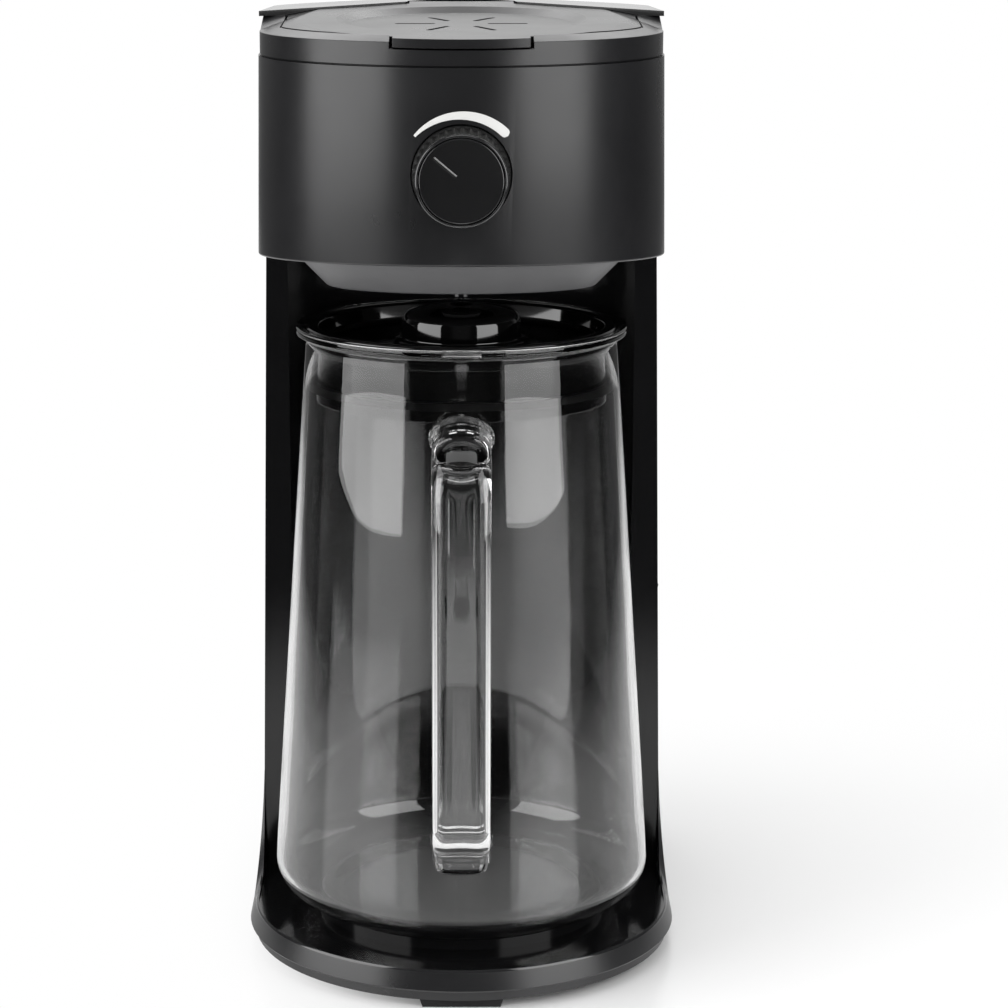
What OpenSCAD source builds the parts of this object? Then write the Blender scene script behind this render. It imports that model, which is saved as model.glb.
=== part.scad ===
// Iced tea maker: a C-shaped body that carries a brewing head over a glass jug.
// All shapes are drawn from the jug axis, then moved so that the whole stands centred on the origin.

/* [Jug] */
// Largest outer radius of the glass jug
jug_r = 77; // [75:0.5:78]
// Height of the jug from its foot to its rim
jug_h = 235.9; // [215:0.1:260]
// Thickness of the glass
glass_t = 2.7; // [2.4:0.1:3]
// Radius of the rounded corner at the jug's foot
jug_corner = 14; // [12:0.5:16]
// Lean of the jug's side from upright, in degrees
jug_lean = 3.75; // [3.6:0.05:3.8]
// Reach of the handle's front from the jug axis
handle_reach = 113; // [110:1:118]
// Width of the handle bar
handle_w = 22; // [20:1:24]
// Thickness of the handle bar
handle_t = 11; // [10:0.5:12]

/* [Base] */
// Radius of the skirt's widest line, from the jug axis
base_r = 88; // [87:0.5:92]
// Distance from the jug axis to the back of the base
base_rear = 148; // [146:1:156]
// Radius of the base's rear corners
base_rc = 32; // [30:1:34]
// Height of the base rim above the table
base_h = 16.1; // [15.8:0.1:16.6]
// Height of the skirt's widest line
skirt_z = 8.4; // [8:0.1:9]
// Sideways run of the sloping skirt
skirt_run = 2.4; // [2.2:0.1:2.8]
// Height of the rubber feet
foot_h = 3.6; // [3.2:0.1:4]
// Width of the front foot
foot_front_w = 33; // [28:1:36]
// Radius of each rear foot
foot_rear_r = 10; // [8:0.5:12]
// Radius of the jug's seat pad
seat_r = 58; // [56:0.5:59]
// Thickness of the seat pad
seat_t = 3; // [2.5:0.1:3.5]

/* [Tower] */
// Distance from the jug axis back to the wing fronts
wing_y = 40; // [38:0.5:42]
// Gap between the jug and the concave back wall
bay_gap = 5; // [4:0.5:6]
// Thickness of the body and head walls
wall = 2.6; // [2.4:0.1:2.8]
// Sideways gain of the tower's flare where it meets the base
flare_run = 3.7; // [3.5:0.1:4]
// Height where the flare begins
flare_z = 62; // [58:1:66]
// Sideways draw-in per millimetre of tower height
tower_draft = 0.0176; // [0.016:0.0004:0.018]
// Radius of the sweep from the wing fronts into the base rim
sweep_r = 25; // [22:1:27]

/* [Head] */
// Distance of the head's round centre behind the jug axis
head_cy = 6; // [5:0.5:7]
// Half width of the head at its underside
head_hw = 81; // [80.9:0.1:82]
// Draw-in of the head wall per millimetre of height
head_draft = 0.015; // [0.012:0.001:0.017]
// Clearance from the jug's rim up to the head's underside
head_gap = 27.65; // [27:0.05:30]
// Slope of the head's underside, rising to the front, in degrees
under_tilt = 4; // [3.8:0.1:4.4]
// Height of the seam under the collar, above the head's underside
seam_up = 78.6; // [78:0.1:79.4]
// Height of the collar's outer edge above the seam
collar_h = 9.2; // [9:0.1:9.6]
// Height of the lid's face above the collar's edge, at the head's round centre
lid_up = 5.4; // [5:0.1:5.8]
// Slope of the lid, falling to the front, in degrees
top_tilt = 3.25; // [3:0.05:3.4]
// Slope of the collar's rim, rising inwards, in degrees
rim_slope = 18; // [15:1:20]
// Depth of the tapered cowl under the head
cowl_h = 12; // [11:0.5:13]

/* [Lid] */
// Radius of the lid's round front
lid_r = 72; // [71:0.5:72.5]
// Half width between the lid's straight sides
lid_hw = 69.5; // [68.5:0.5:70]
// Thickness of the lid
lid_t = 3; // [2.8:0.1:3.2]
// Width of the front finger tab
tab_w = 51; // [46:1:54]
// Half width of the hinge tongue
tongue_hw = 21.5; // [20:0.5:22]
// Radius of the round dish in the lid
dish_r = 49; // [46:0.5:50]
// Depth of the round dish
dish_d = 2.2; // [1.8:0.1:2.4]
// Thickness of the rear cap at its front ends
cap_t = 2.1; // [1.9:0.1:2.3]

/* [Strength knob] */
// Height of the knob axis above the head's underside
knob_up = 39.2; // [37:0.2:40]
// Radius of the knob where it meets the head
knob_r = 18.6; // [18:0.1:19]
// Draw-in of the knob's grip towards its face
knob_taper = 1.4; // [1:0.1:1.6]
// Reach of the knob's face in front of the head
knob_reach = 20.5; // [18:0.5:22]
// Number of grip teeth
knob_teeth = 36; // [30:2:40]
// Radius of the knob's shaft
shaft_r = 3; // [2.5:0.1:3.2]

/* [Clearances] */
// Gap round the lid in the collar
lid_gap = 0.8; // [0.6:0.1:1]
// Gap between parts that pass each other
pass_gap = 0.3; // [0.25:0.05:0.4]
// Radial gap of a running or sliding fit
run_gap = 0.05; // [0.03:0.01:0.08]
// Gap under a part that rests on another body
rest_gap = 0.05; // [0.03:0.01:0.08]

/* [Hidden] */
$fn = 96;

// Base and seat
deck_z = base_h - 1.5;
deck_t = 2.5;
plate_z = foot_h + 2.4;
pedestal_r = seat_r + 2;
seat_z = deck_z + 4;
jug_z = seat_z + seat_t + rest_gap;
dish_edge_r = base_r - skirt_run - 1.2;
lip_in = 2.4;
corner_x = base_r - base_rc;
corner_y = base_rear - base_rc;
root_a = atan2(base_h - skirt_z, base_r - dish_edge_r);

// Heights of the head, all carried by the jug's rim
under_z = jug_z + jug_h + head_gap;
seam_z = under_z + seam_up;
edge_z = seam_z + collar_h;
top_z = edge_z + lid_up;
knob_z = under_z + knob_up;

// Tower
bay_r = jug_r + bay_gap;
tower_top = under_z + 14;
flare_r = (pow(flare_z - skirt_z, 2)) / (2 * (flare_run - tower_draft * (flare_z - skirt_z)));
draft_a = atan(tower_draft);

// Where the whole is moved so that it stands centred front to back
gland_t = 2;
pad_y = base_rear - 0.8;
jug_y = (handle_reach - (pad_y + gland_t)) / 2;

// Head and lid, measured from the head's round centre in the tilted top plane
head_rc = head_hw - corner_x;
head_rear = corner_y + head_rc;
collar_hw = head_hw - head_draft * (edge_z - under_z) - 0.4;
top_y = corner_y - head_cy;
collar_rc = collar_hw - corner_x;
chevron_x = [23, 80];
chevron_y = [54, 16];
chevron_s = (chevron_y[0] - chevron_y[1]) / (chevron_x[1] - chevron_x[0]);
hinge_y = 62;
barrel_r = 3.4;
pin_r = 1.5;
pin_half = 27;
ledge_z = lid_t + 0.3;
ledge_t = 2.3;
ramp_y = [4, 26];
ramp_up = 4.5;
ramp_fall = 0.97;
roof_x = 0.0503;
roof_y = -0.028;

// Brewing parts
basket_r = 56.5;
sleeve_r = basket_r + 0.5;
basket_top = under_z + 63;
cone_z = under_z + 8.8;
nozzle_r = 9;
nozzle_z = under_z - 14.2;
plunger_r = 3.5;
filter_low = under_z + 12.8;
filter_z = under_z + 54.8;
arm_z = under_z + 70.8;

// Knob, measured outwards from the head's front
front_y = head_cy - (head_hw - head_draft * (knob_z - under_z));
well_r = knob_r + 1.7;
well_d = 2.2;

// Fasteners, gland and plug
screw_r = 1.5;
gland_r = 5.5;
gland_z = 27;
gland_l = 14;
cap_r = 15.8;
plug_r = 58.6;

// Inside the tower
heater_z = 38;
heater_y = [100, 124];
heater_end = -28;
heater_bend = 30;
leg_r = 7;
bore_r = 3.5;
riser_x = 30 - base_r;
tank_x = [42 - base_r, base_r - 24];
tank_z = 72;
tank_top = under_z + 59.8;
bend_r = 8;

// Rocker on the right side of the tower
switch_y = 95;
switch_z = 120;
rocker_a = 8;
rocker_r = 9.3;
rocker_depth = 3;
rocker_w = 10.4;
bezel_l = 22;
bezel_w = 14;

// Frames in which sub-parts are drawn
module at_jug() translate([0, jug_y, 0]) children();
module on_top() translate([0, head_cy, top_z]) rotate([top_tilt, 0, 0]) children();
module on_under() translate([0, 0, under_z]) rotate([-under_tilt, 0, 0]) children();
module on_ramp() translate([0, ramp_y[1], edge_z + ramp_up]) rotate([-ramp_fall, 0, 0]) children();
module on_knob() translate([0, front_y, knob_z]) rotate([90, 0, 0]) children();
function side_x(z) = base_r - flare_run - tower_draft * (z - flare_z);
module on_side() translate([side_x(switch_z), switch_y, switch_z]) rotate([0, 90 - draft_a, 0]) children();

// Everything above or below a tilted plane, moved along its normal
module slab(low, high) translate([-220, -320, low]) cube([440, 640, high - low]);

// Plan with a round front and two rounded rear corners
module d_plan(hw, cy, rear, rc) {
    translate([0, cy]) circle(r = hw);
    translate([-hw, cy]) square([2 * hw, rear - rc - cy]);
    translate([-(hw - rc), cy]) square([2 * (hw - rc), rear - cy]);
    for (s = [-1, 1]) translate([s * (hw - rc), rear - rc]) circle(r = rc);
}

// Sweeps a wall section along the sides, round the rear corners and across the back
module sweep_back(hw, y0, rear, rc) {
    for (m = [0, 1]) mirror([m, 0, 0]) {
        translate([hw, rear - rc, 0]) rotate([90, 0, 0]) linear_extrude(rear - rc - y0) children();
        translate([hw - rc, rear - rc, 0]) rotate_extrude(angle = 90) translate([rc, 0]) children();
    }
    translate([-(hw - rc), rear, 0]) rotate([90, 0, 90]) linear_extrude(2 * (hw - rc)) children();
}

// Sweeps a wall section all the way round, with a round front
module sweep_loop(hw, cy, rear, rc) {
    translate([0, cy, 0]) rotate([0, 0, 180]) rotate_extrude(angle = 180) translate([hw, 0]) children();
    sweep_back(hw, cy, rear, rc) children();
}

// Section of the base's edge, measured from its widest line
module skirt_section() polygon([
    [-6, foot_h], [-lip_in, foot_h], [-lip_in, skirt_z - 0.8], [-0.6, skirt_z - 0.8], [0, skirt_z],
    [-skirt_run + 0.3, base_h - 0.8], [-skirt_run - 0.4, base_h], [-14, base_h], [-14, deck_z - deck_t],
    [-10, deck_z - deck_t], [-10, plate_z], [-6, plate_z]]);

// Filled section of the tower's side, with the concave flare at its foot
module tower_section() {
    top_x = -flare_run - tower_draft * (tower_top - flare_z);
    polygon([[-20, flare_z], [-flare_run, flare_z], [top_x, tower_top], [-20, tower_top]]);
    difference() {
        translate([-20, skirt_z]) square([20, flare_z - skirt_z]);
        translate([-flare_run + flare_r * cos(draft_a), flare_z + flare_r * sin(draft_a)])
            circle(r = flare_r, $fn = 360);
    }
}

module tower_wall_section() difference() {
    tower_section();
    translate([-wall, 0]) tower_section();
}

// Plan of the polished dish: round in front, straight along the sides back to the wings
module dish_plan() {
    circle(r = dish_edge_r);
    translate([-dish_edge_r, 0]) square([2 * dish_edge_r, wing_y]);
}

// Cut that carries the wing's front down and forward into the skirt's slope
module wing_cut() {
    sink = 0.3;
    start = wing_y - sweep_r + sink;
    lift = sweep_r - sink;
    translate([dish_edge_r + lift * sin(root_a), start, base_h + lift * cos(root_a)])
        rotate([0, root_a, 0]) rotate([90, 0, 90]) translate([0, 0, -90]) linear_extrude(180) {
            translate([-60, -sweep_r]) square([60, 160]);
            circle(r = sweep_r);
            square([sweep_r, 160 - sweep_r]);
        }
}

function boss_places() = [for (s = [-1, 1]) each [[s * 58, -35], [s * 66, 28]]];

// Root of the wing between its front and the skirt
module wing_root() difference() {
    translate([base_r, wing_y, 0]) rotate([90, 0, 0]) linear_extrude(sweep_r) intersection() {
        tower_section();
        translate([-20, 0]) square([40, flare_z + 18]);
    }
    wing_cut();
    translate([0, 0, deck_z]) linear_extrude(200) dish_plan();
}

// Wall behind the jug
module bay_wall() intersection() {
    translate([0, 0, deck_z - deck_t]) cylinder(r = bay_r + wall, h = tower_top - deck_z);
    translate([-120, wing_y, 0]) cube([240, 120, 400]);
}

module tower() intersection() {
    on_under() slab(-320, 0);
    difference() {
        union() {
            sweep_back(base_r, wing_y + wall, base_rear, base_rc) tower_wall_section();
            for (m = [0, 1]) mirror([m, 0, 0]) {
                translate([base_r, wing_y + wall, 0]) rotate([90, 0, 0]) linear_extrude(wall) tower_section();
                wing_root();
            }
            bay_wall();
        }
        translate([0, 0, deck_z]) cylinder(r = bay_r, h = 400);
    }
}

// Base, side wings, concave jug bay and back wall in one moulding
module body_shell() color("#26272a") at_jug() difference() {
    union() {
        difference() {
            union() {
                sweep_loop(base_r, 0, base_rear, base_rc) skirt_section();
                translate([0, 0, deck_z - deck_t]) linear_extrude(deck_t)
                    d_plan(base_r - 13, 0, base_rear - 13, base_rc - 13);
            }
            translate([0, 0, deck_z]) linear_extrude(20) dish_plan();
        }
        translate([0, 0, deck_z - deck_t]) cylinder(r = pedestal_r, h = seat_z - deck_z + deck_t);
        for (p = boss_places()) translate([p[0], p[1], plate_z]) cylinder(r = 4.5, h = deck_z - plate_z - 1);
        tower();
        translate([-12, pad_y - 9, 15]) cube([24, 9, 24]);
    }
    cylinder(r = pedestal_r - wall, h = seat_z - wall);
    translate([0, 0, deck_z - deck_t - 1]) linear_extrude(deck_t + 2) difference() {
        translate([-(base_r - 12), wing_y + 6]) square([2 * (base_r - 12), base_rear - 14 - wing_y - 6]);
        circle(r = bay_r + wall);
    }
    for (p = boss_places()) translate([p[0], p[1], 0]) cylinder(r = screw_r + 0.1, h = plate_z + 6);
    translate([0, pad_y + 1, gland_z]) rotate([90, 0, 0]) cylinder(r = gland_r + run_gap, h = 30);
    on_side() translate([-bezel_l / 2 - 0.1, -bezel_w / 2 - 0.1, -10])
        cube([bezel_l + 0.2, bezel_w + 0.2, 20]);
}

// Flat cover under the base
module base_plate() color("#1f2022") at_jug() difference() {
    translate([0, 0, foot_h]) linear_extrude(plate_z - foot_h)
        d_plan(base_r - 6 - pass_gap, 0, base_rear - 6 - pass_gap, base_rc - 6 - pass_gap);
    for (p = boss_places()) translate([p[0], p[1], 0]) {
        cylinder(r = screw_r + 0.2, h = 20);
        cylinder(r = screw_r + 1.9, h = foot_h + 1.2);
    }
}

// Wide pad with slanted ends
module front_foot() color("#161616") at_jug() translate([0, 19 - base_r, 0]) rotate([90, 0, 0])
    linear_extrude(14) polygon([[1.2 - foot_front_w / 2, 0], [foot_front_w / 2 - 1.2, 0],
        [foot_front_w / 2, foot_h], [-foot_front_w / 2, foot_h]]);

module rear_feet() color("#161616") at_jug() for (s = [-1, 1]) translate([s * 60, corner_y + 4, 0]) {
    cylinder(r1 = foot_rear_r - 0.6, r2 = foot_rear_r, h = 1);
    translate([0, 0, 1]) cylinder(r = foot_rear_r, h = foot_h - 1);
}

module base_screws() color("#a9abad") at_jug() for (p = boss_places()) translate([p[0], p[1], foot_h]) {
    difference() {
        translate([0, 0, 0.1]) cylinder(r = screw_r + 1.5, h = 1.1);
        cylinder(r = 1.1, h = 0.7, $fn = 6);
    }
    translate([0, 0, 1]) cylinder(r = screw_r, h = plate_z - foot_h + 4);
}

// Pad that the jug stands on
module jug_seat() color("#151516") at_jug() translate([0, 0, seat_z]) difference() {
    union() {
        cylinder(r = seat_r, h = seat_t - 1);
        translate([0, 0, seat_t - 1]) cylinder(r1 = seat_r, r2 = seat_r - 1, h = 1);
    }
    translate([0, 0, seat_t - 0.6]) cylinder(r = seat_r - 9, h = 2);
}

// Wall section of the head, measured from its half width at the underside
module head_section() {
    low = under_z - 16;
    high = seam_z + 6;
    x0 = head_draft * (under_z - low);
    x1 = head_draft * (under_z - high);
    polygon([[x0, low], [x1, high], [x1 - wall, high], [x0 - wall, low]]);
}

// Housing of the brewing head
module head_shell() color("#2b2c2f") at_jug() difference() {
    intersection() {
        union() {
            sweep_loop(head_hw, head_cy, head_rear, head_rc) head_section();
            intersection() {
                on_under() slab(0, wall);
                translate([0, 0, under_z - 20]) linear_extrude(50)
                    d_plan(head_hw - 1.5, head_cy, head_rear - 1.5, head_rc - 1.5);
            }
            intersection() {
                on_knob() translate([0, 0, -5]) cylinder(r = well_r + 3, h = 5);
                translate([0, 0, under_z]) linear_extrude(80)
                    d_plan(head_hw - 2.2, head_cy, head_rear - 2.2, head_rc - 2.2);
            }
        }
        on_under() slab(0, 300);
        slab(0, seam_z);
    }
    translate([0, 0, under_z - 20]) cylinder(r = basket_r + pass_gap, h = 40);
    translate([0, 0, under_z - 20]) linear_extrude(40) difference() {
        translate([-(head_hw - 5), wing_y + 6]) square([2 * (head_hw - 5), head_rear - 26 - wing_y - 6]);
        circle(r = bay_r + wall + 1);
    }
    translate([0, 0, under_z - 20]) linear_extrude(40)
        translate([-(corner_x + 10), corner_y - 4])
            square([2 * (corner_x + 10), head_rear - 6 - corner_y + 4]);
    on_knob() {
        translate([0, 0, -well_d]) cylinder(r = well_r, h = 20);
        translate([0, 0, -20]) cylinder(r = shaft_r + 2 + run_gap, h = 20);
    }
}

// Front-to-back place of the chevron edge behind the lid, moved back by a gap
function chevron(x, gap) = chevron_y[1] + (chevron_x[1] - x) * chevron_s
    + gap * sqrt(1 + chevron_s * chevron_s);

// Plan of the lid's body, drawn larger by a gap
module lid_plan(gap) {
    hw = lid_hw + gap;
    rear_gap = gap - lid_gap - 0.4;
    intersection() {
        circle(r = lid_r + gap);
        translate([-hw, -100]) square([2 * hw, 100]);
    }
    polygon([[-hw, 0], [hw, 0], [hw, chevron(hw, rear_gap)], [tongue_hw, chevron(tongue_hw, rear_gap)],
        [-tongue_hw, chevron(tongue_hw, rear_gap)], [-hw, chevron(hw, rear_gap)]]);
}

module tongue_notch() translate([-tongue_hw - lid_gap, hinge_y - 16, -2 * barrel_r - 0.5])
    cube([2 * (tongue_hw + lid_gap), barrel_r + 19, 30]);

module hinge_bore(r, half) translate([-half, hinge_y, -barrel_r]) rotate([0, 90, 0])
    cylinder(r = r, h = 2 * half);

// Everything under the collar's rim, which slopes up and inwards all round
module rim_block() {
    rise = tan(rim_slope);
    sweep_loop(collar_hw, head_cy, corner_y + collar_rc, collar_rc) polygon([
        [3, edge_z - 3 * rise], [-12, edge_z + 12 * rise], [-12, edge_z - 6], [3, edge_z - 6]]);
    translate([0, 0, edge_z - 5.5]) linear_extrude(9)
        d_plan(collar_hw - 11.5, head_cy, corner_y + collar_rc - 11.5, collar_rc - 11.5);
}

// Everything under the ramp that carries the rear cap
module ramp_block() intersection() {
    on_ramp() slab(-60, 0);
    translate([-120, 0, 0]) rotate([90, 0, 90]) linear_extrude(240) polygon([
        [ramp_y[0], edge_z - 1.2], [ramp_y[1], edge_z + ramp_up], [ramp_y[1], edge_z + 20],
        [240, edge_z + 20], [240, edge_z - 6], [ramp_y[0], edge_z - 6]]);
}

// Ring that closes the head and carries the lid
module top_collar() color("#2b2c2f") at_jug() difference() {
    inset = wall + 0.8;
    union() {
        translate([0, 0, seam_z]) linear_extrude(0.6)
            d_plan(collar_hw - 0.8, head_cy, corner_y + collar_rc - 0.8, collar_rc - 0.8);
        translate([0, 0, seam_z + 0.6]) linear_extrude(collar_h + 8)
            d_plan(collar_hw, head_cy, corner_y + collar_rc, collar_rc);
    }
    difference() {
        slab(edge_z - 2, edge_z + 40);
        rim_block();
        ramp_block();
    }
    on_ramp() slab(0, 40);
    intersection() {
        on_top() slab(-60, -ledge_z - ledge_t);
        translate([0, 0, seam_z - 1]) linear_extrude(collar_h + 0.8)
            d_plan(collar_hw - inset, head_cy, corner_y + collar_rc - inset, collar_rc - inset);
    }
    on_top() {
        translate([0, 0, 0.2]) linear_extrude(20) square([400, 2 * (chevron_y[1] + 20)], center = true);
        translate([0, 0, -ledge_z]) linear_extrude(20) lid_plan(lid_gap);
        translate([0, 0, -20]) linear_extrude(40) lid_plan(-3.5);
        tongue_notch();
        translate([-tab_w / 2 - 1.2, -100, -ledge_z - 0.4]) cube([tab_w + 2.4, 60, 20]);
        hinge_bore(pin_r + 0.02, pin_half + 1);
    }
}

// Half of the cap's hipped roof, through the left arm of the chevron
module roof_half() translate([-chevron_x[1], head_cy + chevron_y[1], edge_z + ramp_up + cap_t])
    rotate([atan(roof_y), -atan(roof_x), 0]) slab(-60, 0);

// Fixed hipped cap behind the lid
module rear_cap() color("#232427") at_jug() difference() {
    intersection() {
        translate([0, 0, edge_z]) linear_extrude(30) difference() {
            d_plan(collar_hw + 1.4, head_cy, corner_y + collar_rc + 1.4, collar_rc + 1.4);
            translate([0, head_cy]) polygon([[-120, -200], [120, -200], [120, chevron(120, 0)],
                [chevron_x[0], chevron_y[0]], [-chevron_x[0], chevron_y[0]], [-120, chevron(120, 0)]]);
        }
        on_ramp() slab(0, 30);
        roof_half();
        mirror([1, 0, 0]) roof_half();
    }
    on_top() tongue_notch();
    on_top() hinge_bore(pin_r + 0.02, pin_half + 1);
}

module hinge_pin() color("#b5b7ba") at_jug() on_top() hinge_bore(pin_r, pin_half);

// Slot with round ends, along the radius
module vent_slot() {
    translate([11.3, -1.1]) square([13.6, 2.2]);
    for (x = [11.3, 24.9]) translate([x, 0]) circle(r = 1.1);
}

// Hinged lid with a round dish, six vents and a front tab
module lid() color("#2a2b2e") at_jug() on_top() difference() {
    union() {
        translate([0, 0, -lid_t]) linear_extrude(lid_t) {
            lid_plan(0);
            translate([-tongue_hw, hinge_y - 20]) square([2 * tongue_hw, 20]);
        }
        translate([0, 0, -lid_t]) linear_extrude(lid_t + 0.4) intersection() {
            circle(r = collar_hw + 1);
            translate([-tab_w / 2, -100]) square([tab_w, 34]);
        }
        translate([0, -head_cy, -lid_t - 2]) cylinder(r = dish_r + 3, h = 2.5);
        hinge_bore(barrel_r, tongue_hw);
    }
    translate([0, -head_cy, -dish_d]) cylinder(r1 = dish_r - 6, r2 = dish_r, h = dish_d);
    translate([0, -head_cy, 0]) cylinder(r = dish_r, h = 2);
    translate([0, -head_cy, -10]) linear_extrude(12) for (i = [0:5]) rotate(60 * i) vent_slot();
    hinge_bore(pin_r + run_gap, tongue_hw + 1);
}

// Tapered cowl under the head
module drip_cowl() color("#515356") at_jug() on_under() rotate_extrude() polygon([
    [65.2, 0], [53.2, -cowl_h], [16, -cowl_h], [16, 2 - cowl_h], [52.2, 2 - cowl_h], [62.2, 0]]);

// Sleeve that the basket drops into
module basket_sleeve() color("#3a3b3e") at_jug() intersection() {
    on_under() slab(wall, 200);
    difference() {
        translate([0, 0, under_z - 20]) cylinder(r = sleeve_r + 2.2, h = basket_top - under_z + 20);
        translate([0, 0, under_z - 30]) cylinder(r = sleeve_r, h = 200);
    }
}

module brew_basket() color("#4a4b4e") at_jug() rotate_extrude() polygon([
    [sleeve_r + 3.5, basket_top + 2.2], [sleeve_r + 3.5, basket_top], [basket_r, basket_top],
    [basket_r, cone_z], [nozzle_r, cone_z - 10], [nozzle_r, nozzle_z], [plunger_r + 0.5, nozzle_z],
    [plunger_r + 0.5, nozzle_z + 1.5], [nozzle_r - 2, nozzle_z + 1.5], [nozzle_r - 2, cone_z - 8],
    [basket_r - 3.3, cone_z + 2], [basket_r - 3.3, filter_z], [basket_r - 2, filter_z],
    [basket_r - 2, basket_top + 2.2]]);

module filter_frame() color("#d8d5cc") at_jug() difference() {
    rotate_extrude() polygon([[basket_r - 2.3, filter_z + 1.6], [basket_r - 2.3, filter_z],
        [basket_r - 3.8, filter_z], [basket_r - 3.8, filter_low], [0, filter_low], [0, filter_low + 1.6],
        [basket_r - 5, filter_low + 1.6], [basket_r - 5, filter_z + 1.6]]);
    for (i = [0:5]) rotate(60 * i) translate([basket_r - 17, -21, filter_low + 5]) cube([17, 42, 32]);
}

module filter_mesh() color("#b8bab8") at_jug() translate([0, 0, filter_low + 1.6]) difference() {
    cylinder(r = basket_r - 5 - run_gap, h = filter_z - filter_low - 1.6);
    translate([0, 0, -1]) cylinder(r = basket_r - 5.4, h = 60);
}

// Plan of the water tank, drawn smaller by a wall
module tank_plan(g) difference() {
    union() {
        translate([tank_x[0] + g, 50 + g]) square([tank_x[1] - tank_x[0] - 2 * g, 62 - g]);
        translate([tank_x[0] + g, 50 + g]) square([tank_x[1] - tank_x[0] - 20 - g, 82 - 2 * g]);
        translate([tank_x[1] - 20, 112]) circle(r = 20 - g);
    }
    circle(r = bay_r + wall + 2.4 + g);
}

function tank_legs() = [[tank_x[1] - 8, 80], [tank_x[1] - 7, 110], [tank_x[0] + 8, 86]];

module water_tank() color("#c9cbc8") at_jug() difference() {
    union() {
        translate([0, 0, tank_z]) linear_extrude(tank_top - tank_z) tank_plan(0);
        for (p = tank_legs()) translate([p[0], p[1], plate_z]) cylinder(r = 5, h = tank_z - plate_z + 1);
        translate([-36, heater_y[1], tank_z - 4]) cylinder(r = 6, h = 5);
    }
    translate([0, 0, tank_z + 2]) linear_extrude(400) tank_plan(1.8);
    translate([-36, heater_y[1], tank_z - 5]) cylinder(r = bore_r, h = 10);
}

module check_valve() color("#e4e2dc") at_jug() translate([-36, heater_y[1], 56]) difference() {
    cylinder(r = 6, h = tank_z - 4 - 56);
    translate([0, 0, -1]) cylinder(r = bore_r, h = 20);
    translate([0, 0, 4]) cylinder(r = 4.8, h = 5);
}

// Quarter bend from the x direction up to the z direction
module quarter_bend(r, bend) translate([0, 0, bend]) rotate([90, 0, 0]) rotate([0, 0, 180])
    rotate_extrude(angle = 90) translate([bend, 0]) circle(r = r);

module hose_run(r) {
    x = -36 + bend_r;
    translate([x, heater_y[1], heater_z]) quarter_bend(r, bend_r);
    translate([-36, heater_y[1], heater_z + bend_r]) cylinder(r = r, h = 56 - heater_z - bend_r);
}

module inlet_hose() color("#dfe0dc") at_jug() difference() {
    hose_run(5.2);
    hose_run(bore_r - 0.3);
}

// Section across one leg of the heater: water bore above, element bore below
module heater_section(grow) {
    circle(r = leg_r + grow);
    translate([-4.2, -12]) square([8.4, 12]);
    translate([0, -11]) circle(r = 5 + grow);
}

module heater_run(y_mid, half) {
    for (s = [-1, 1]) translate([heater_end, y_mid + s * half, heater_z]) rotate([90, 0, 90])
        linear_extrude(heater_bend - heater_end) children();
    translate([heater_bend, y_mid, heater_z]) rotate([0, 0, -90]) rotate_extrude(angle = 180)
        translate([half, 0]) children();
}

module heater_block() color("#b9bbbe") at_jug() {
    mid = (heater_y[0] + heater_y[1]) / 2;
    half = (heater_y[1] - heater_y[0]) / 2;
    difference() {
        union() {
            heater_run(mid, half) heater_section(0);
            translate([-24, heater_y[0] - 9, heater_z + 2]) cube([46, 18, 6.5]);
        }
        heater_run(mid, half) circle(r = bore_r);
        heater_run(mid, half) translate([0, -11]) circle(r = 2.6 + run_gap);
        for (y = heater_y) translate([heater_end - 1, y, heater_z]) rotate([0, 90, 0])
            cylinder(r = bore_r, h = 3);
        for (y = heater_y) translate([heater_end - 1, y, heater_z - 11]) rotate([0, 90, 0])
            cylinder(r = 2.6 + run_gap, h = 3);
    }
}

module heater_element() color("#8d8f92") at_jug() {
    mid = (heater_y[0] + heater_y[1]) / 2;
    half = (heater_y[1] - heater_y[0]) / 2;
    heater_run(mid, half) translate([0, -11]) circle(r = 2.6);
    for (y = heater_y) translate([heater_end - 9, y, heater_z - 11]) rotate([0, 90, 0])
        cylinder(r = 2, h = 9);
}

module heater_saddle() color("#c7c9cb") at_jug() difference() {
    translate([-4, heater_y[0] - 7, plate_z])
        cube([18, heater_y[1] - heater_y[0] + 14, heater_z - 8 - plate_z]);
    for (y = heater_y) translate([-10, y, heater_z]) rotate([90, 0, 90]) linear_extrude(30) {
        heater_section(run_gap);
        translate([-5 - run_gap, -11]) square([10 + 2 * run_gap, 20]);
    }
}

module thermostat() color("#d9c9a0") at_jug() translate([-13, heater_y[0], heater_z + 8.5]) {
    cylinder(r = 8, h = 5);
    for (s = [-1, 1]) translate([s * 4 - 0.4, -3, 4.9]) cube([0.8, 6, 8]);
}

module thermal_fuse() color("#c9cdd2") at_jug() translate([2, heater_y[0] - 3, heater_z + 8.5]) {
    cube([16, 6, 2]);
    translate([0, 3, 4.6]) rotate([0, 90, 0]) cylinder(r = 3, h = 16);
}

// Route of the hot tube: out of the heater, up the tower, then over the basket
module riser_run(r) {
    arm_end = 12;
    arm_a = atan2(-heater_y[0], -riser_x);
    arm_l = norm([riser_x, heater_y[0]]) - arm_end;
    translate([riser_x + bend_r, heater_y[0], heater_z]) rotate([0, 90, 0])
        cylinder(r = r, h = heater_end - riser_x - bend_r);
    translate([riser_x + bend_r, heater_y[0], heater_z]) quarter_bend(r, bend_r);
    translate([riser_x, heater_y[0], heater_z + bend_r]) cylinder(r = r, h = arm_z - heater_z - bend_r);
    translate([riser_x, heater_y[0], arm_z]) sphere(r = r + 0.6);
    translate([riser_x, heater_y[0], arm_z]) rotate([0, 0, arm_a]) rotate([0, 90, 0])
        cylinder(r = r, h = arm_l);
}

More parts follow.
